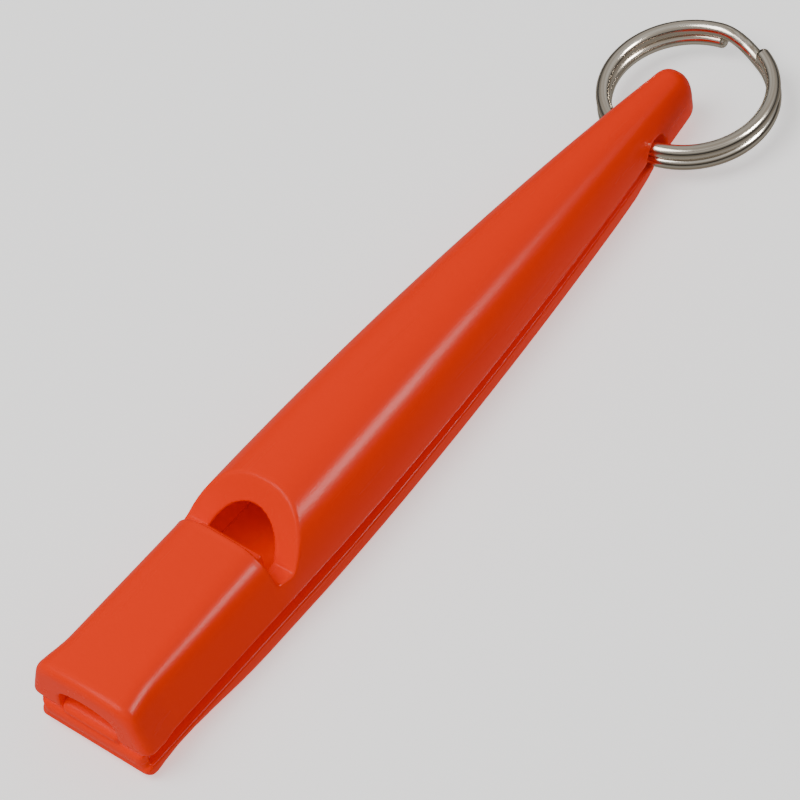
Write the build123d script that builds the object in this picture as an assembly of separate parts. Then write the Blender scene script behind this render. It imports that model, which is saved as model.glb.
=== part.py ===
from build123d import *
import math
import os

# Pealess dog whistle with a split key ring, in millimetres.
# Working frame: X runs from the mouth end (0) to the tail, Z is up from the flat sole, Y = 0 is the
# plane of symmetry. The finished solids are moved so that the origin lies on the sole below mid length.

# Overall
LENGTH = 80.0
ORIGIN_X = 40.0
PARTING_Z = 3.2          # height of the joint between the two mouldings

# Outer body above the parting plane
FULL_HALF_WIDTH = 5.8    # half width of the mouthpiece and of the body at the window
TAIL_HALF_WIDTH = 1.75
BODY_HEIGHT = 6.35       # crown above the parting plane just behind the window
TAIL_HEIGHT = 3.25
TAPER_START = 22.0       # the handle narrows from here
TAPER_END = 77.8         # and the round nose starts here
WIDTH_TAPER = 1.75       # exponents of the two taper curves
HEIGHT_TAPER = 2.4
NOSE_CROWN_POWER = 0.6   # keeps the crown fuller than the plan at the round nose
NOSE_STATIONS = (28, 48, 64, 76, 84)    # degrees round the nose
ROOF_HEIGHT = 5.2        # mouthpiece roof above the parting plane
ROOF_LEAN = 1.15         # how far each mouthpiece side leans in at the roof
ROOF_SQUARENESS = 6.5    # superellipse exponents of the two section shapes
BODY_SQUARENESS = 2.41
BLEND_START = 17.0       # the mouthpiece section turns into the body section over this stretch
BLEND_END = 23.0
MOUTH_CHAMFER = 0.5      # bevel round the end face of the mouthpiece
SECTION_STEPS = 32
OVERCUT = 0.4            # cutters run past the faces they open

# Window, ramp and bore
WINDOW_WALL_X = 17.45    # face of the mouthpiece block
RAMP_FOOT_X = 19.4
LEDGE_HEIGHT = 2.45      # the flat ledges beside the bore, above the parting plane
RAMP_ANGLE = 45.8
BORE_RADIUS = 3.45
BORE_AXIS_HEIGHT = 1.2   # above the parting plane
BORE_END_X = 37.0
TROUGH_RADIUS = 3.2      # rounded floor of the bore, sunk into the base
TROUGH_DEPTH = 1.7

# Windway above the tongue
WINDWAY_MOUTH = (2.95, 3.0, 2.6)    # half width, height above the parting plane, squareness
WINDWAY_EXIT = (3.3, 4.5, 4.0)
TONGUE_MOUTH = (2.8, 0.85, 8.0)
TONGUE_EXIT = (3.0, 3.75, 8.0)
TONGUE_END_X = 18.5      # its tip shows just past the mouthpiece block

# Cored handle
CORE_START_X = 39.5
CORE_END_X = 67.0
HANDLE_WALL = 1.7

# Base moulding
BASE_START_X = 0.1
GROOVE_HEIGHT = 1.55     # open height of the side groove, down from the parting plane
NECK_INSET = 1.1         # how far the neck lies inside the shell's outline, less towards the tail
NECK_INSET_CHANGE = 0.2
RAIL_INSET_FRONT = 0.22
RAIL_INSET_TAIL = 0.55
RAIL_END_X = 73.45
BITE_LIP = (0.0, 0.55)   # X and underside height at the mouth end
BITE_HOLLOW = (4.2, 0.95)
BITE_END_X = 13.5
BOAT_START_X = 67.5
BOAT_END_HEIGHT = 1.0
BOAT_END_SLOPE = 0.35

# Nose block below the parting plane, behind the ring hole
NOSE_START_X = 73.55
NOSE_DEPTH = 1.65
NOSE_INSET = 0.06        # it is drawn in by this much under the shell's outline
NOSE_TIP_GAP = 0.12

# Ring hole and split ring
HOLE_X = 72.45
HOLE_DROP = 0.25         # hole axis below the parting plane
HOLE_RADIUS = 1.6
HOLE_FLARE = 0.5         # the hole opens out by this much at each side of the tail
HOLE_FLARE_Y = (1.7, 2.6)
RING_WIRE = 1.3
RING_OUTER = 16.0
RING_TURN_GAP = 0.02     # between the two turns of wire
RING_SLACK_X = 0.35      # the wire's mid point lies this far in front of the hole's axis
RING_SLACK_Y = -0.8      # the ring lies a little to one side in its hole
LOWER_END_ANGLE = 4.0    # free end of the lower turn, about the ring's centre, from +X towards +Y
UPPER_END_ANGLE = -22.0  # free end of the upper turn
CRANK_POINTS = 9


def smooth_step(value):
    """0 below 0, 1 above 1, and an S curve between."""
    clipped = min(1.0, max(0.0, value))
    return clipped * clipped * (3.0 - 2.0 * clipped)


def taper(x, exponent):
    """0 in front of the handle, 1 at the nose."""
    run = (min(x, TAPER_END) - TAPER_START) / (TAPER_END - TAPER_START)
    return max(0.0, run) ** exponent


def nose_factor(x):
    """1 along the handle, falling to 0 at the tip on a quarter ellipse."""
    run = max(0.0, (x - TAPER_END) / (LENGTH - TAPER_END))
    return math.sqrt(max(0.0, 1.0 - run * run))


def half_width(x):
    width = FULL_HALF_WIDTH - (FULL_HALF_WIDTH - TAIL_HALF_WIDTH) * taper(x, WIDTH_TAPER)
    return width * nose_factor(x)


def crown_height(x):
    body = BODY_HEIGHT - (BODY_HEIGHT - TAIL_HEIGHT) * taper(x, HEIGHT_TAPER)
    blend = smooth_step((x - BLEND_START) / (BLEND_END - BLEND_START))
    return (ROOF_HEIGHT + (body - ROOF_HEIGHT) * blend) * nose_factor(x) ** NOSE_CROWN_POWER


def squareness(x):
    blend = smooth_step((x - BLEND_START) / (BLEND_END - BLEND_START))
    return ROOF_SQUARENESS + (BODY_SQUARENESS - ROOF_SQUARENESS) * blend


def lean(x):
    return ROOF_LEAN * (1.0 - smooth_step((x - BLEND_START) / (BLEND_END - BLEND_START)))


def arch_face(x, width, height, exponent, side_lean=0.0, floor_z=PARTING_Z):
    """Upright arch at station x: a flat bottom edge and a superellipse over it."""
    points = []
    for step in range(SECTION_STEPS + 1):
        angle = math.pi * step / SECTION_STEPS
        cosine = math.cos(angle)
        sine = abs(math.sin(angle)) if 0 < step < SECTION_STEPS else 0.0
        reach = (abs(cosine) ** exponent + sine ** exponent) ** (-1.0 / exponent)
        across = cosine * reach
        up = sine * reach
        points.append((x, across * (width - side_lean * up), floor_z + height * up))
    outline = Spline(*points) + Line(points[-1], points[0])
    return Face(Wire(outline.edges()))


def block(x0, x1, y0, y1, z0, z1):
    """Box between two corners."""
    box = Box(x1 - x0, y1 - y0, z1 - z0, align=(Align.MIN, Align.MIN, Align.MIN))
    return box.moved(Location((x0, y0, z0)))


def profile_along_y(points):
    """Prism across the whole whistle from an outline in the XZ plane."""
    reach = 2.0 * FULL_HALF_WIDTH
    outline = Polyline(*[(x, reach, z) for x, z in points], close=True)
    return extrude(Face(Wire(outline.edges())), amount=2.0 * reach, dir=(0, -1, 0))


def plan_prism(x0, x1, inset, z0, z1, steps=24):
    """Prism whose plan follows the shell's outline, moved in by inset(x)."""
    stations = [x0 + (x1 - x0) * step / steps for step in range(steps + 1)]
    near = [(x, -(half_width(x) - inset(x)), z0) for x in stations]
    far = [(x, -y, z) for x, y, z in reversed(near)]
    outline = Spline(*near) + Line(near[-1], far[0]) + Spline(*far) + Line(far[-1], near[0])
    return extrude(Face(Wire(outline.edges())), amount=z1 - z0, dir=(0, 0, 1))


def outer_body():
    """Mouthpiece, body, handle and nose above the parting plane."""
    stations = [MOUTH_CHAMFER, BLEND_START, 18.5, 20.0, 21.5, BLEND_END, 26.0, 29.0, 32.0, 35.0, 38.0]
    stations += [41.0, 44.0, 47.0, 50.0, 53.0, 56.0, 59.0, 62.0, 65.0, 68.0, 71.0, 74.5, TAPER_END]
    nose_run = LENGTH - TAPER_END
    stations += [TAPER_END + nose_run * math.sin(math.radians(a)) for a in NOSE_STATIONS]
    sections = [arch_face(x, half_width(x), crown_height(x), squareness(x), lean(x)) for x in stations]
    end_face = arch_face(
        0.0, FULL_HALF_WIDTH - MOUTH_CHAMFER, ROOF_HEIGHT - MOUTH_CHAMFER, ROOF_SQUARENESS, ROOF_LEAN,
    )
    return loft([end_face] + sections, ruled=True)


def nose_block():
    """Lower half of the nose, which closes the ring hole behind the base."""
    overlap = 0.5
    tip = LENGTH - NOSE_TIP_GAP
    low = PARTING_Z - NOSE_DEPTH
    return plan_prism(NOSE_START_X, tip, lambda x: NOSE_INSET, low, PARTING_Z + overlap)


def window_cutter():
    """Space over the ledges, from the mouthpiece block to the sloping ramp."""
    ledge_z = PARTING_Z + LEDGE_HEIGHT
    top_z = PARTING_Z + 2.0 * BODY_HEIGHT
    ramp_run = (top_z - ledge_z) / math.tan(math.radians(RAMP_ANGLE))
    return profile_along_y([
        (WINDOW_WALL_X, ledge_z),
        (RAMP_FOOT_X, ledge_z),
        (RAMP_FOOT_X + ramp_run, top_z),
        (WINDOW_WALL_X, top_z),
    ])


def bore_cutter():
    """Inverted-U bore from the mouthpiece block to its stop wall."""
    axis_z = PARTING_Z + BORE_AXIS_HEIGHT
    run = BORE_END_X - WINDOW_WALL_X
    tube = Cylinder(BORE_RADIUS, run, rotation=(0, 90, 0))
    tube = tube.moved(Location((WINDOW_WALL_X + run / 2.0, 0, axis_z)))
    below = block(WINDOW_WALL_X, BORE_END_X, -BORE_RADIUS, BORE_RADIUS, PARTING_Z, axis_z)
    return (tube + below) & block(WINDOW_WALL_X, BORE_END_X, -LENGTH, LENGTH, PARTING_Z, LENGTH)


def tapered_arch(x0, x1, first, last):
    """Loft between two arches given as half width, height and squareness."""
    return loft([arch_face(x0, *first), arch_face(x1, *last)], ruled=True)


def handle_core():
    """Cored space inside the handle, open at the parting plane."""
    stations = [CORE_START_X, 43.0, 47.0, 51.0, 55.0, 59.0, 63.0, CORE_END_X]
    sections = [
        arch_face(x, half_width(x) - HANDLE_WALL, crown_height(x) - HANDLE_WALL, BODY_SQUARENESS)
        for x in stations
    ]
    return loft(sections, ruled=True)


def ring_hole():
    """Cross hole with a flared mouth at each side, so the ring swings without rubbing."""
    hole = Cylinder(HOLE_RADIUS, 4.0 * FULL_HALF_WIDTH, rotation=(90, 0, 0))
    flare_run = HOLE_FLARE_Y[1] - HOLE_FLARE_Y[0]
    flare_y = (HOLE_FLARE_Y[0] + HOLE_FLARE_Y[1]) / 2.0
    near = Cone(HOLE_RADIUS, HOLE_RADIUS + HOLE_FLARE, flare_run, rotation=(90, 0, 0))
    far = Cone(HOLE_RADIUS, HOLE_RADIUS + HOLE_FLARE, flare_run, rotation=(-90, 0, 0))
    cutter = hole + near.moved(Location((0, -flare_y, 0))) + far.moved(Location((0, flare_y, 0)))
    return cutter.moved(Location((HOLE_X, 0, PARTING_Z - HOLE_DROP)))


def make_upper_shell():
    shell = outer_body()
    shell = shell + nose_block()
    shell = shell - window_cutter() - bore_cutter()
    shell = shell - tapered_arch(-OVERCUT, WINDOW_WALL_X + OVERCUT, WINDWAY_MOUTH, WINDWAY_EXIT)
    return shell - handle_core() - ring_hole()


def rail_inset(x):
    """The rail lies just inside the shell's outline, and further in towards the tail."""
    return RAIL_INSET_FRONT + (RAIL_INSET_TAIL - RAIL_INSET_FRONT) * taper(x, 1.0)


def neck_inset(x):
    return NECK_INSET - NECK_INSET_CHANGE * taper(x, 1.0)


def bite_relief():
    """Shallow hollow under the mouthpiece that leaves a lip for the teeth."""
    hollow = Spline(
        (BITE_LIP[0], 0, BITE_LIP[1]), (BITE_HOLLOW[0], 0, BITE_HOLLOW[1]), (BITE_END_X, 0, 0.0),
        tangents=((1.0, 0, 0.0), (1.0, 0, 0.0)),
    )
    below = Polyline((BITE_END_X, 0, 0.0), (BITE_END_X, 0, -1.0), (0.0, 0, -1.0), (0.0, 0, BITE_LIP[1]))
    face = Face(Wire(hollow.edges() + below.edges()))
    return extrude(face, amount=FULL_HALF_WIDTH * 2.0, dir=(0, 1, 0), both=True)


def boat_tail_relief():
    """The underside lifts behind the sole towards the ring hole."""
    end = RAIL_END_X + 1.0
    rise = Spline(
        (BOAT_START_X, 0, 0.0), (end, 0, BOAT_END_HEIGHT),
        tangents=((1.0, 0, 0.0), (1.0, 0, BOAT_END_SLOPE)),
    )
    below = Polyline(
        (end, 0, BOAT_END_HEIGHT), (end, 0, -1.0), (BOAT_START_X, 0, -1.0), (BOAT_START_X, 0, 0.0),
    )
    face = Face(Wire(rise.edges() + below.edges()))
    return extrude(face, amount=FULL_HALF_WIDTH * 2.0, dir=(0, 1, 0), both=True)


def make_base():
    rail_top = PARTING_Z - GROOVE_HEIGHT
    rail = plan_prism(BASE_START_X, RAIL_END_X, rail_inset, 0.0, rail_top)
    neck = plan_prism(BASE_START_X, RAIL_END_X, neck_inset, rail_top, PARTING_Z)
    tongue = tapered_arch(BASE_START_X, TONGUE_END_X, TONGUE_MOUTH, TONGUE_EXIT)
    base = rail - bite_relief() - boat_tail_relief() + neck + tongue
    trough_run = BORE_END_X - TONGUE_END_X
    trough = Cylinder(TROUGH_RADIUS, trough_run, rotation=(0, 90, 0))
    trough_z = PARTING_Z - TROUGH_DEPTH + TROUGH_RADIUS
    trough = trough.moved(Location((TONGUE_END_X + trough_run / 2.0, 0, trough_z)))
    return base - trough - ring_hole()


def ring_centre():
    mean_radius = (RING_OUTER - RING_WIRE) / 2.0
    return Vector(HOLE_X - RING_SLACK_X + mean_radius, RING_SLACK_Y, PARTING_Z - HOLE_DROP)


def ring_arc(start_angle, end_angle, height):
    """Centre line of one turn of the wire."""
    mean_radius = (RING_OUTER - RING_WIRE) / 2.0
    arc = CenterArc((0, 0, 0), mean_radius, start_angle, end_angle - start_angle)
    return arc.moved(Location((0, 0, height)))


def ring_crank(lower, upper):
    """Centre line of the stretch where the wire steps from the lower turn to the upper one."""
    mean_radius = (RING_OUTER - RING_WIRE) / 2.0
    start = lower @ 1
    finish = upper @ 0
    points = [start]
    for step in range(1, CRANK_POINTS - 1):
        run = step / (CRANK_POINTS - 1)
        angle = math.radians(UPPER_END_ANGLE + (LOWER_END_ANGLE - UPPER_END_ANGLE) * run)
        height = start.Z + (finish.Z - start.Z) * smooth_step(run)
        points.append((mean_radius * math.cos(angle), mean_radius * math.sin(angle), height))
    points.append(finish)
    return Spline(*points, tangents=(lower % 1, upper % 0))


def make_split_ring():
    """Two turns of round wire in one piece, joined by a crank, with a free end either side of it."""
    drop = (RING_WIRE + RING_TURN_GAP) / 2.0
    lower = ring_arc(LOWER_END_ANGLE, UPPER_END_ANGLE + 360.0, -drop)
    upper = ring_arc(LOWER_END_ANGLE, UPPER_END_ANGLE + 360.0, drop)
    crank = ring_crank(lower, upper)
    path = Wire(lower.edges() + crank.edges() + upper.edges())
    section = Plane(origin=lower @ 0, z_dir=lower % 0) * Circle(RING_WIRE / 2.0)
    return sweep(section, path=path).moved(Location(ring_centre()))


def main():
    os.makedirs("parts", exist_ok=True)
    nodes = {
        "upper_shell": make_upper_shell(),
        "base": make_base(),
        "split_ring": make_split_ring(),
    }
    for name, solid in nodes.items():
        placed = solid.moved(Location((-ORIGIN_X, 0, 0)))
        placed.label = name
        export_step(placed, f"parts/{name}.step")


main()
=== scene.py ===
import math

import bpy
import numpy as np
from mathutils import Matrix, Vector


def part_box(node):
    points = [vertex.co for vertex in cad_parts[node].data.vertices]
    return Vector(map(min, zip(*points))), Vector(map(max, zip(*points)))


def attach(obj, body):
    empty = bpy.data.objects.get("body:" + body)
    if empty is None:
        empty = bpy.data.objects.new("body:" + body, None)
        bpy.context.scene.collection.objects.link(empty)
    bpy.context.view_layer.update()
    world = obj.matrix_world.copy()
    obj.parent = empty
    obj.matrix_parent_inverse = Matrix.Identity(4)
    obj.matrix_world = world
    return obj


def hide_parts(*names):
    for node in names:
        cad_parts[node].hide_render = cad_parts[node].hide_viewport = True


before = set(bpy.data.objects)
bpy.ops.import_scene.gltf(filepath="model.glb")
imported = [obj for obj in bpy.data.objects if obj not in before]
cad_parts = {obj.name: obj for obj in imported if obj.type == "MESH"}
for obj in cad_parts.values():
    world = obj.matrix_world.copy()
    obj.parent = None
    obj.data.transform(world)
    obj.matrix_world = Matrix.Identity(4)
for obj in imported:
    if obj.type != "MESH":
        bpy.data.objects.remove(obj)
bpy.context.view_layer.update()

# Pealess dog whistle with a split key ring. Each moulding is the zero surface of a field, a function
# of x, y and z that is negative inside it, so that every edge gets its moulding radius.
# Sizes are in millimetres: x runs from the mouth end to the tail, y across, and z up from the plane
# where the two mouldings meet. to_frame() turns them into the frame's metres. An EDGE is how far
# the rounding of an edge or inside corner reaches.
MM = 0.001
shell_lo, shell_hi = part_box("upper_shell")
LENGTH = (shell_hi.x - shell_lo.x) / MM
ORIGIN_X = -shell_lo.x / MM     # from the mouth end to the frame's origin
SOLE_DEPTH = 3.2                # of the origin, and of the flat sole, below the parting plane

# Grid that the mouldings are meshed on
CELL = 0.18
SHELL_GRID = ((-0.4, -6.3, -2.2), (80.5, 6.3, 7.0))
BASE_GRID = ((-0.4, -6.3, -3.7), (74.3, 6.3, 4.2))
PROBE = 0.004                   # half the distance over which a slope is taken
MESH_PASSES = 4                 # that move the points onto the surface
LARGEST_MOVE = 0.4              # in one pass, in cells

# Body and handle
WIDTH = 5.8                     # half width in front of the taper
TAIL_WIDTH = 1.88               # and at its end
CROWN = 6.35                    # height in front of the taper
TAIL_CROWN = 3.25               # and at its end
TAPER_START = 22.0
TAPER_END = 77.8
TAPER_LIMIT = 1.2               # it may run on past its end up to this value
WIDTH_TAPER = 1.75
CROWN_TAPER = 2.4
SECTION_POWER = 2.42            # superellipse exponent of the cross section
NOSE_POWER = 2.4
NOSE_RADIUS = 2.0
NOSE_GAP = 0.15                 # the nose stays this far inside the full length
NOSE_BLOCK_X = 73.3             # behind here the shell reaches down past the parting plane
NOSE_BLOCK_DEPTH = 1.62
NOSE_BLOCK_EDGE = 0.2

# Mouthpiece block
BLEND_START = 16.8              # it turns into the body over this stretch
BLEND_RUN = 2.8
FACE_X = -0.12
ROOF_Z = 4.98
ROOF_RISE = 0.22                # from the mouth to the window
ROOF_CAMBER = 0.26
ROOF_HALF = 4.0                 # half width over which the roof falls by its camber
ROOF_SLOPE_SCALE = 0.985        # these keep the field close to a true distance where it slopes
SIDE_SLOPE_SCALE = 0.94
SIDE_OUT = 0.06
SIDE_LEAN = 0.27
SIDE_CURVE = 0.006
FLARE = 0.45                    # the sides swell at the mouth
FLARE_RUN = 4.0
SHOULDER_EDGE = 1.25            # between roof and sides, more towards the window
SHOULDER_GAIN = 0.9
FACE_EDGE = 0.95
SKIRT_EDGE = 0.25               # lower edge of the shell, more at the tail and at the mouth
SKIRT_TAIL_X = 72.5
SKIRT_TAIL_RUN = 1.5
SKIRT_TAIL_GAIN = 0.25
SKIRT_MOUTH_GAIN = 0.6
SKIRT_MOUTH_RUN = 2.5

# Window, bore and windway
WALL_X = 17.46                  # end wall of the mouthpiece block
RAMP_FOOT = 19.17
LEDGE_Z = 2.2
RAMP_ANGLE = math.radians(45.8)
LEDGE_CORNER_EDGE = 0.5
RAMP_CORNER_EDGE = 0.15
WINDOW_EDGE = 0.2
BORE_RADIUS = 3.45
BORE_Z = 1.19
BORE_LEAD = 0.3                 # the shell's bore starts this far in front of the end wall
BORE_END = 37.0
BORE_EDGE = 0.16
WINDWAY_OVERRUN = 1.0           # past the end wall
WINDWAY_EDGE = 0.22
WINDWAY_CORNER = 0.9            # less towards the window
WINDWAY_CORNER_LOSS = 0.3
WINDWAY_HALF = 2.95
WINDWAY_HALF_GAIN = 0.35
WINDWAY_TOP = 3.05
WINDWAY_TOP_GAIN = 1.35
WINDWAY_CAMBER = 0.66
WINDWAY_CAMBER_LOSS = 0.42

# Hollow core of the handle
WALL = 1.7
CORE_START = 39.5
CORE_END = 67.0
CORE_EDGE = 0.2

# Base moulding
BASE_START = -0.25
BASE_END = 73.1
BASE_END_CORNER = 0.1
BASE_END_EDGE = 0.9
RAIL_TOP = -1.57
RAIL_INSET = 0.1
RAIL_INSET_GAIN = 0.42
RAIL_SOLE_EDGE = 0.25
RAIL_TOP_EDGE = 0.2
NECK_INSET = 1.05
NECK_INSET_LOSS = 0.2
NECK_DEPTH = 2.0
NECK_TOP_EDGE = 0.05
NECK_FOOT_EDGE = 0.25
TROUGH_EDGE = 0.15
LIP_X = 0.9                     # in front of here the neck swells to close the groove
LIP_RUN = 0.4
LIP_OUT = 0.6
LIP_DROP = 0.06
SOLE_STATIONS = (0.0, 0.9, 2.0, 3.6, 5.5, 8.0, 10.5, 12.5, 14.5, 66.0, 69.0, 71.5, 74.0)
SOLE_DEPTHS = (2.62, 2.74, 2.5, 2.3, 2.34, 2.58, 2.92, 3.12, 3.2, 3.2, 3.12, 2.7, 1.95)
TONGUE_END = 18.5
TONGUE_HALF = 3.0
TONGUE_HALF_GAIN = 0.13
TONGUE_TOP = 0.78
TONGUE_TOP_GAIN = 3.05
TONGUE_FOOT = 0.3
TONGUE_EDGE = 0.3
TONGUE_FOOT_EDGE = 0.3

# Ring hole and split ring
HOLE_X = 72.45
HOLE_Z = -0.25
HOLE_RADIUS = 1.55
HOLE_EDGE = 0.3
WIRE = 1.3
TURN_GAP = 0.02
RING_RADIUS = 7.35
RING_CENTRE = (79.45, -0.8, -0.25)
TURN_HEIGHT = (WIRE + TURN_GAP) / 2.0   # of each turn above or below the ring's middle
LOWER_END = math.radians(8.5)           # free ends, about the centre, from +x towards +y
UPPER_END = math.radians(-23.0)
CRANK_OVERLAP = math.radians(3.5)       # the crank runs on past the free ends
END_ROUNDING = 0.42
RING_STEPS = 520
WIRE_SIDES = 28


# ---------------------------------------------------------------------------
# Field helpers
# ---------------------------------------------------------------------------
def smax(a, b, r):
    """Maximum of two fields; the edge between their surfaces is rounded over a distance r."""
    h = np.clip(r - np.abs(a - b), 0.0, None)
    return np.maximum(a, b) + h * h / (4.0 * r)


def smin(a, b, r):
    return -smax(-a, -b, r)


def step(t):
    """0 below 0, 1 above 1, and an S curve between."""
    t = np.clip(t, 0.0, 1.0)
    return t * t * (3.0 - 2.0 * t)


def superellipse(u, v, n):
    """Pseudo distance, in units of the semi axes."""
    return (np.abs(u) ** n + np.abs(v) ** n + 1e-12) ** (1.0 / n)


def taper(x, power):
    """0 in front of TAPER_START, 1 at TAPER_END."""
    run = (x - TAPER_START) / (TAPER_END - TAPER_START)
    return np.clip(run, 0.0, TAPER_LIMIT) ** power


def half_width(x):
    return WIDTH - (WIDTH - TAIL_WIDTH) * taper(x, WIDTH_TAPER)


def body_crown(x):
    return CROWN - (CROWN - TAIL_CROWN) * taper(x, CROWN_TAPER)


# ---------------------------------------------------------------------------
# Upper shell
# ---------------------------------------------------------------------------
def handle(x, y, z):
    """Body and handle section over the whole length, closed by a round nose."""
    w = half_width(x)
    h = body_crown(x)
    across = np.abs(y) / w
    up = np.clip(z, 0.0, None) / h
    section = superellipse(across, up, SECTION_POWER)
    cap = np.clip((x - (LENGTH - NOSE_GAP - NOSE_RADIUS)) / NOSE_RADIUS, 0.0, None)
    closed = superellipse(section, cap, NOSE_POWER)
    scale = (across * w + up * h + cap * NOSE_RADIUS + 1e-6) / (across + up + cap + 1e-6)
    return (closed - 1.0) * scale


def mouth_block(x, y, z):
    """Sides that lean in, under a gently cambered roof."""
    run = np.clip(x / WALL_X, 0.0, 1.0)
    roof = ROOF_Z + ROOF_RISE * run + ROOF_CAMBER * (1.0 - (y / ROOF_HALF) ** 2)
    up = np.clip(z, 0.0, None)
    flare = FLARE * step((FLARE_RUN - x) / FLARE_RUN)
    reach = WIDTH + SIDE_OUT + flare - SIDE_LEAN * up - SIDE_CURVE * up * up
    top = (z - roof) * ROOF_SLOPE_SCALE
    side = (np.abs(y) - reach) * SIDE_SLOPE_SCALE
    return smax(top, side, SHOULDER_EDGE + SHOULDER_GAIN * run)


def window(x, z):
    """Space over the ledges, between the mouthpiece's end wall and the ramp."""
    ramp = (x - RAMP_FOOT) * math.sin(RAMP_ANGLE) - (z - LEDGE_Z) * math.cos(RAMP_ANGLE)
    corner = smax(WALL_X - x, LEDGE_Z - z, LEDGE_CORNER_EDGE)
    return smax(corner, ramp, RAMP_CORNER_EDGE)


def bore(x, y, z):
    return np.maximum(np.sqrt(y * y + (z - BORE_Z) ** 2) - BORE_RADIUS, x - BORE_END)


def windway(x, y, z):
    run = np.clip(x / WALL_X, 0.0, 1.0)
    half = WINDWAY_HALF + WINDWAY_HALF_GAIN * run
    camber = WINDWAY_CAMBER - WINDWAY_CAMBER_LOSS * run
    top = WINDWAY_TOP + WINDWAY_TOP_GAIN * run - camber * (y / half) ** 2
    section = smax(np.abs(y) - half, z - top, WINDWAY_CORNER - WINDWAY_CORNER_LOSS * run)
    return np.maximum(section, x - WALL_X - WINDWAY_OVERRUN)


def core(x, y, z):
    w = half_width(x) - WALL
    h = body_crown(x) - WALL
    section = superellipse(y / w, np.clip(z, 0.0, None) / h, SECTION_POWER)
    ends = np.maximum(CORE_START - x, x - CORE_END)
    return np.maximum((section - 1.0) * np.minimum(w, h), ends)


def ring_hole(x, z):
    return np.sqrt((x - HOLE_X) ** 2 + (z - HOLE_Z) ** 2) - HOLE_RADIUS


def shell_field(x, y, z):
    mix = step((x - BLEND_START) / BLEND_RUN)
    outer = mouth_block(x, y, z) * (1.0 - mix) + handle(x, y, z) * mix
    outer = smax(outer, FACE_X - x, FACE_EDGE)
    # the underside lies on the parting plane, and lower behind the ring hole
    tail_block = smax(-(z + NOSE_BLOCK_DEPTH), NOSE_BLOCK_X - x, NOSE_BLOCK_EDGE)
    underside = np.minimum(-z, tail_block)
    skirt = SKIRT_EDGE + SKIRT_TAIL_GAIN * step((x - SKIRT_TAIL_X) / SKIRT_TAIL_RUN)
    skirt = skirt + SKIRT_MOUTH_GAIN * step((SKIRT_MOUTH_RUN - x) / SKIRT_MOUTH_RUN)
    shell = smax(outer, underside, skirt)
    shell = smax(shell, -window(x, z), WINDOW_EDGE)
    shell = smax(shell, -np.maximum(bore(x, y, z), WALL_X - BORE_LEAD - x), BORE_EDGE)
    shell = smax(shell, -windway(x, y, z), WINDWAY_EDGE)
    shell = smax(shell, -core(x, y, z), CORE_EDGE)
    return smax(shell, -ring_hole(x, z), HOLE_EDGE)


# ---------------------------------------------------------------------------
# Base
# ---------------------------------------------------------------------------
def tongue(x, y, z):
    """Fipple block, which rises towards the window."""
    run = np.clip(x / TONGUE_END, 0.0, 1.0)
    sides = np.abs(y) - (TONGUE_HALF + TONGUE_HALF_GAIN * run)
    body = smax(sides, z - (TONGUE_TOP + TONGUE_TOP_GAIN * run), TONGUE_EDGE)
    return np.maximum(np.maximum(body, -z - TONGUE_FOOT), x - TONGUE_END)


def base_field(x, y, z):
    w = half_width(x)
    run = taper(x, 1.0)
    # rail: its underside has the bite lip and hollow, the flat sole and the boat tail
    sole = np.interp(x, SOLE_STATIONS, SOLE_DEPTHS)
    rail_side = np.abs(y) - (w - RAIL_INSET - RAIL_INSET_GAIN * run)
    rail = smax(rail_side, -(z + sole), RAIL_SOLE_EDGE)
    rail = smax(rail, z - RAIL_TOP, RAIL_TOP_EDGE)
    # neck: set back to leave the groove between the shell and the rail
    lip = step((LIP_X - x) / LIP_RUN)
    neck_side = np.abs(y) - (w - NECK_INSET + NECK_INSET_LOSS * run + LIP_OUT * lip)
    neck = smax(neck_side, z + LIP_DROP * lip, NECK_TOP_EDGE)
    neck = np.maximum(neck, -(z + NECK_DEPTH))
    base = smin(rail, neck, NECK_FOOT_EDGE)
    base = smin(base, tongue(x, y, z), TONGUE_FOOT_EDGE)
    base = smax(base, smax(BASE_START - x, x - BASE_END, BASE_END_CORNER), BASE_END_EDGE)
    base = smax(base, -np.maximum(bore(x, y, z), TONGUE_END - x), TROUGH_EDGE)
    return smax(base, -ring_hole(x, z), HOLE_EDGE)


# ---------------------------------------------------------------------------
# Meshing
# ---------------------------------------------------------------------------
def slope(field, points):
    """Value and gradient of the field at each point."""
    gradient = []
    for axis in range(3):
        shift = np.zeros(3)
        shift[axis] = PROBE
        rise = field(*(points + shift).T) - field(*(points - shift).T)
        gradient.append(rise / (2.0 * PROBE))
    return field(*points.T), np.stack(gradient, axis=1)


def cell_points(values, lo, cell):
    """One point in each cell that the surface crosses, and the grid of those points' numbers."""
    cells = tuple(k - 1 for k in values.shape)
    total = np.zeros(cells + (3,))
    count = np.zeros(cells)
    corners = [(i, j, k) for i in (0, 1) for j in (0, 1) for k in (0, 1)]
    for axis in range(3):
        for corner in corners:
            if corner[axis]:
                continue
            other = list(corner)
            other[axis] = 1
            a = values[tuple(slice(s, s + c) for s, c in zip(corner, cells))]
            b = values[tuple(slice(s, s + c) for s, c in zip(other, cells))]
            crossing = (a < 0) != (b < 0)
            along = np.where(crossing, a / np.where(crossing, a - b, 1.0), 0.0)
            for e in range(3):
                value = corner[e] + (along if e == axis else 0.0)
                total[..., e] += np.where(crossing, value, 0.0)
            count += crossing
    active = count > 0
    index = -np.ones(cells, dtype=np.int64)
    index[active] = np.arange(active.sum())
    mean = total[active] / count[active][:, None]
    return np.array(lo) + cell * (np.argwhere(active) + mean), index


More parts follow.
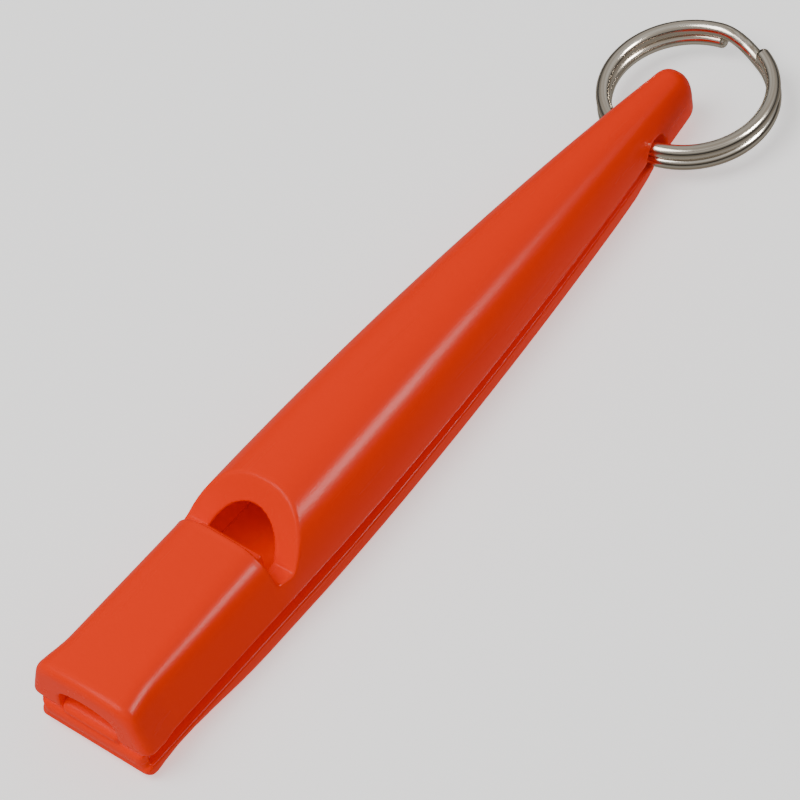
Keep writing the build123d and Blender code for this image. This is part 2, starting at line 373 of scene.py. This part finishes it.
def cell_faces(inside, index):
    """A quad for every grid edge whose two ends lie on different sides of the surface."""
    n = inside.shape
    faces = []
    for axis in range(3):
        u, v = [e for e in range(3) if e != axis]
        near = [slice(1, k - 1) for k in n]
        far = list(near)
        near[axis] = slice(0, n[axis] - 1)
        far[axis] = slice(1, n[axis])
        a = inside[tuple(near)]
        change = np.argwhere(a != inside[tuple(far)])
        first = a[tuple(change.T)]
        change[:, [u, v]] += 1
        quad = []
        for du, dv in ((0, 0), (1, 0), (1, 1), (0, 1)):
            corner = change.copy()
            corner[:, u] -= du
            corner[:, v] -= dv
            quad.append(index[tuple(corner.T)])
        quad = np.stack(quad, axis=1)
        turned = ~first if axis != 1 else first
        quad[turned] = quad[turned][:, ::-1]
        faces.append(quad)
    return np.concatenate(faces)


def surface_nets(field, lo, hi, cell):
    """Quad mesh of the field's zero surface, with its points moved onto that surface."""
    axes = [a + cell * np.arange(int(math.ceil((b - a) / cell)) + 1) for a, b in zip(lo, hi)]
    values = field(*np.meshgrid(*axes, indexing="ij"))
    points, index = cell_points(values, lo, cell)
    faces = cell_faces(values < 0, index)
    for _ in range(MESH_PASSES):
        value, gradient = slope(field, points)
        move = value[:, None] * gradient / (np.sum(gradient * gradient, axis=1) + 1e-9)[:, None]
        size = np.linalg.norm(move, axis=1)
        limit = np.minimum(1.0, LARGEST_MOVE * cell / (size + 1e-12))
        points = points - move * limit[:, None]
    return points, faces.tolist()


def to_frame(points):
    moved = np.array(points, float)
    moved[:, 0] -= ORIGIN_X
    moved[:, 2] += SOLE_DEPTH
    return moved * MM


def make_mesh(name, points, faces, body, node, material):
    mesh = bpy.data.meshes.new(name)
    mesh.from_pydata(to_frame(points).tolist(), [], faces)
    mesh.update()
    for polygon in mesh.polygons:
        polygon.use_smooth = True
    obj = bpy.data.objects.new(name, mesh)
    bpy.context.scene.collection.objects.link(obj)
    mesh.materials.append(material)
    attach(obj, body)
    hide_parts(node)


# ---------------------------------------------------------------------------
# Materials
# ---------------------------------------------------------------------------
def new_material(name):
    material = bpy.data.materials.new(name)
    material.use_nodes = True
    return material, material.node_tree, material.node_tree.nodes["Principled BSDF"]


def noise(tree, vector, scale, detail):
    node = tree.nodes.new("ShaderNodeTexNoise")
    node.inputs["Scale"].default_value = scale
    node.inputs["Detail"].default_value = detail
    tree.links.new(vector, node.inputs["Vector"])
    return node.outputs["Fac"]


def set_roughness(tree, shader, source, low, high):
    spread = tree.nodes.new("ShaderNodeMapRange")
    spread.inputs["To Min"].default_value = low
    spread.inputs["To Max"].default_value = high
    tree.links.new(source, spread.inputs["Value"])
    tree.links.new(spread.outputs["Result"], shader.inputs["Roughness"])


def set_bump(tree, shader, source, strength, distance):
    bump = tree.nodes.new("ShaderNodeBump")
    bump.inputs["Strength"].default_value = strength
    bump.inputs["Distance"].default_value = distance
    tree.links.new(source, bump.inputs["Height"])
    tree.links.new(bump.outputs["Normal"], shader.inputs["Normal"])


def plastic():
    """Bright moulded plastic with faint flow lines along the whistle and a fine grain, and a faint
    painted red glow.
    """
    material, tree, shader = new_material("moulded_orange_plastic")
    shader.inputs["Base Color"].default_value = (1.0, 0.03, 0.0, 1.0)
    shader.inputs["IOR"].default_value = 1.2
    # painted glow: a faint red emission makes the plastic light itself, brightening its red
    # everywhere
    shader.inputs["Emission Color"].default_value = (1.0, 0.0, 0.0, 1.0)
    shader.inputs["Emission Strength"].default_value = 0.03
    coords = tree.nodes.new("ShaderNodeTexCoord")
    stretch = tree.nodes.new("ShaderNodeMapping")
    stretch.inputs["Scale"].default_value = (60.0, 900.0, 900.0)
    tree.links.new(coords.outputs["Object"], stretch.inputs["Vector"])
    flow = noise(tree, stretch.outputs["Vector"], scale=1.0, detail=3.0)
    grain = noise(tree, coords.outputs["Object"], scale=5200.0, detail=2.0)
    both = tree.nodes.new("ShaderNodeMath")
    both.operation = "MULTIPLY_ADD"
    both.inputs[1].default_value = 0.7      # the grain's share, next to 1 for the flow lines
    tree.links.new(grain, both.inputs[0])
    tree.links.new(flow, both.inputs[2])
    set_bump(tree, shader, both.outputs["Value"], strength=0.4, distance=0.03 * MM)
    set_roughness(tree, shader, flow, low=0.2, high=0.32)
    return material


def steel():
    """Worn nickel plate with drawing marks that follow the wire round the ring; the darker streaks of
    its colour are partly painted reflection.
    """
    material, tree, shader = new_material("nickel_plated_steel")
    shader.inputs["Metallic"].default_value = 1.0
    coords = tree.nodes.new("ShaderNodeTexCoord")
    offset = tree.nodes.new("ShaderNodeVectorMath")
    offset.operation = "SUBTRACT"
    offset.inputs[1].default_value = to_frame([RING_CENTRE])[0]
    tree.links.new(coords.outputs["Object"], offset.inputs[0])
    # the drawing marks and their painted reflection streaks depend only on the distance from the
    # ring's axis and on the height
    height = tree.nodes.new("ShaderNodeSeparateXYZ")
    tree.links.new(offset.outputs["Vector"], height.inputs["Vector"])
    flat = tree.nodes.new("ShaderNodeVectorMath")
    flat.operation = "MULTIPLY"
    flat.inputs[1].default_value = (1.0, 1.0, 0.0)
    tree.links.new(offset.outputs["Vector"], flat.inputs[0])
    radius = tree.nodes.new("ShaderNodeVectorMath")
    radius.operation = "LENGTH"
    tree.links.new(flat.outputs["Vector"], radius.inputs[0])
    around = tree.nodes.new("ShaderNodeCombineXYZ")
    tree.links.new(radius.outputs["Value"], around.inputs["X"])
    tree.links.new(height.outputs["Z"], around.inputs["Z"])
    drawing_marks_and_painted_streaks = noise(tree, around.outputs["Vector"], scale=4200.0, detail=3.0)
    wear = noise(tree, coords.outputs["Object"], scale=900.0, detail=4.0)
    # colour along the drawing marks; its dark streaks are also painted reflection, standing in for
    # the dark streaks the wire reflects
    tone = tree.nodes.new("ShaderNodeValToRGB")
    tone.color_ramp.elements[0].position = 0.36
    tone.color_ramp.elements[0].color = (0.5, 0.42, 0.33, 1.0)
    tone.color_ramp.elements[1].position = 0.6
    tone.color_ramp.elements[1].color = (0.86, 0.8, 0.71, 1.0)
    tree.links.new(drawing_marks_and_painted_streaks, tone.inputs["Fac"])
    tree.links.new(tone.outputs["Color"], shader.inputs["Base Color"])
    set_roughness(tree, shader, wear, low=0.1, high=0.26)
    set_bump(tree, shader, drawing_marks_and_painted_streaks, strength=0.2, distance=0.03 * MM)
    return material


# ---------------------------------------------------------------------------
# Split ring: one wire, two turns, and a crank where it steps from the lower turn to the upper one
# ---------------------------------------------------------------------------
def ring_path():
    """Centre line from the lower free end, round twice to the upper free end."""
    turn = 2.0 * math.pi
    a = np.linspace(LOWER_END, UPPER_END + 2.0 * turn, RING_STEPS)
    crank_start = UPPER_END + turn - CRANK_OVERLAP
    crank_end = LOWER_END + turn + CRANK_OVERLAP
    z = TURN_HEIGHT * (2.0 * step((a - crank_start) / (crank_end - crank_start)) - 1.0)
    return np.stack([RING_RADIUS * np.cos(a), RING_RADIUS * np.sin(a), z], axis=1)


def wire_mesh(path, radius):
    """Tube along the path with rounded-over ends."""
    tangent = np.gradient(path, axis=0)
    tangent /= np.linalg.norm(tangent, axis=1)[:, None]
    side = np.cross((0.0, 0.0, 1.0), tangent)
    side /= np.linalg.norm(side, axis=1)[:, None]
    lift = np.cross(tangent, side)
    angles = np.linspace(0, 2 * math.pi, WIRE_SIDES, endpoint=False)

    def loop(i, shift, r):
        """Circle of radius r round point i, moved by shift along the tangent."""
        spokes = np.outer(np.cos(angles), side[i]) + np.outer(np.sin(angles), lift[i])
        return path[i] + shift * tangent[i] + r * spokes

    cap = []
    for degrees in range(0, 91, 18):
        t = math.radians(degrees)
        inward = END_ROUNDING * (1.0 - math.cos(t))
        cap.append((inward, radius - END_ROUNDING * (1.0 - math.sin(t))))
    loops = [loop(0, inward, r) for inward, r in cap]
    loops += [loop(i, 0.0, radius) for i in range(2, len(path) - 2)]
    loops += [loop(-1, -inward, r) for inward, r in reversed(cap)]
    points = np.concatenate(loops + [path[:1], path[-1:]])
    faces = []
    last = (len(loops) - 1) * WIRE_SIDES
    for start in range(0, last, WIRE_SIDES):
        end = start + WIRE_SIDES
        for j in range(WIRE_SIDES):
            k = (j + 1) % WIRE_SIDES
            faces.append((start + j, start + k, end + k, end + j))
    for j in range(WIRE_SIDES):
        k = (j + 1) % WIRE_SIDES
        faces.append((len(points) - 2, k, j))
        faces.append((len(points) - 1, last + j, last + k))
    return points, faces


# ---------------------------------------------------------------------------
# Pieces
# ---------------------------------------------------------------------------
orange = plastic()
nickel = steel()
points, faces = surface_nets(shell_field, *SHELL_GRID, CELL)
make_mesh("whistle_shell", points, faces, "whistle", "upper_shell", orange)
points, faces = surface_nets(base_field, *BASE_GRID, CELL)
make_mesh("whistle_base", points, faces, "whistle", "base", orange)
points, faces = wire_mesh(ring_path() + np.array(RING_CENTRE), WIRE / 2.0)
make_mesh("key_ring", points, faces, "ring", "split_ring", nickel)


# ---------------------------------------------------------------------------
# Stage, lights, camera
# ---------------------------------------------------------------------------
def stage_plane(name, height, tone, glow):
    """Large plane of paper that glows, left out of reflections."""
    half = 3.0      # metres
    corners = [(-half, -half, 0), (half, -half, 0), (half, half, 0), (-half, half, 0)]
    mesh = bpy.data.meshes.new(name)
    mesh.from_pydata(corners, [], [(0, 1, 2, 3)])
    plane = bpy.data.objects.new(name, mesh)
    plane.location = (0, 0, height)
    bpy.context.scene.collection.objects.link(plane)
    material, tree, shader = new_material(name + "_paper")
    shader.inputs["Base Color"].default_value = (tone, tone, tone, 1.0)
    shader.inputs["Roughness"].default_value = 0.9
    shader.inputs["Emission Color"].default_value = (1.0, 1.0, 1.0, 1.0)
    shader.inputs["Emission Strength"].default_value = glow
    mesh.materials.append(material)
    plane.visible_glossy = False
    return plane


def softbox(name, place, target, size, power):
    data = bpy.data.lights.new(name, "AREA")
    data.shape = "RECTANGLE"
    data.size, data.size_y = size
    data.energy = power
    light = bpy.data.objects.new(name, data)
    light.location = place
    light.rotation_mode = "QUATERNION"
    light.rotation_quaternion = (Vector(target) - Vector(place)).to_track_quat("-Z", "Y")
    bpy.context.scene.collection.objects.link(light)
    return light


def studio_world():
    """Sky tones by height, from straight down, through a dark horizon, to straight up."""
    tones = [
        (0.0, (0.36, 0.34, 0.31)),
        (0.42, (0.26, 0.25, 0.23)),
        (0.49, (0.02, 0.02, 0.02)),
        (0.56, (0.03, 0.03, 0.03)),
        (0.8, (0.5, 0.49, 0.47)),
    ]
    world = bpy.data.worlds.new("studio")
    bpy.context.scene.world = world
    world.use_nodes = True
    nodes = world.node_tree.nodes
    links = world.node_tree.links
    coords = nodes.new("ShaderNodeTexCoord")
    split = nodes.new("ShaderNodeSeparateXYZ")
    # the direction's height, -1 to 1, becomes 0 to 1
    height = nodes.new("ShaderNodeMath")
    height.operation = "MULTIPLY_ADD"
    height.inputs[1].default_value = 0.5
    height.inputs[2].default_value = 0.5
    ramp = nodes.new("ShaderNodeValToRGB")
    while len(ramp.color_ramp.elements) < len(tones):
        ramp.color_ramp.elements.new(0.5)
    for element, (place, colour) in zip(ramp.color_ramp.elements, tones):
        element.position = place
        element.color = (*colour, 1.0)
    links.new(coords.outputs["Generated"], split.inputs["Vector"])
    links.new(split.outputs["Z"], height.inputs[0])
    links.new(height.outputs["Value"], ramp.inputs["Fac"])
    links.new(ramp.outputs["Color"], nodes["Background"].inputs["Color"])


def aim_camera(place, heading, tilt, roll, lens):
    """Camera that looks along heading (from +X towards +Y), tilted down, and rolled."""
    data = bpy.data.cameras.new("camera")
    data.sensor_width = 36.0
    data.lens = lens
    data.clip_start = 0.01
    data.clip_end = 10.0
    camera = bpy.data.objects.new("camera", data)
    bpy.context.scene.collection.objects.link(camera)
    bpy.context.scene.camera = camera
    turn = Matrix.Rotation(math.radians(heading - 90.0), 4, "Z")
    turn = turn @ Matrix.Rotation(math.radians(90.0 - tilt), 4, "X")
    turn = turn @ Matrix.Rotation(math.radians(roll), 4, "Z")
    camera.matrix_world = Matrix.Translation(place) @ turn


# The camera sees the floor. The card under it, which the camera doesn't see, lights the object
# from below instead. The ridge light adds gloss only, such as the line along the whistle.
floor = stage_plane("floor", height=-0.0001, tone=0.9, glow=0.68)
floor.visible_diffuse = False
bounce_card = stage_plane("bounce_card", height=-0.0003, tone=0.0, glow=0.95)
bounce_card.visible_camera = False
softbox("key_softbox", place=(-0.24, 0.12, 0.52), target=(0.01, 0, 0), size=(0.35, 0.35), power=2.25)
ridge_light = softbox("ridge_softbox", place=(0.2, -0.3, 0.3), target=(0, 0, 0), size=(0.14, 0.11),
                      power=1.7)
ridge_light.visible_diffuse = False
studio_world()
aim_camera(place=(-0.15235, -0.15903, 0.26996), heading=46.332, tilt=50.595, roll=-10.861, lens=189.0)
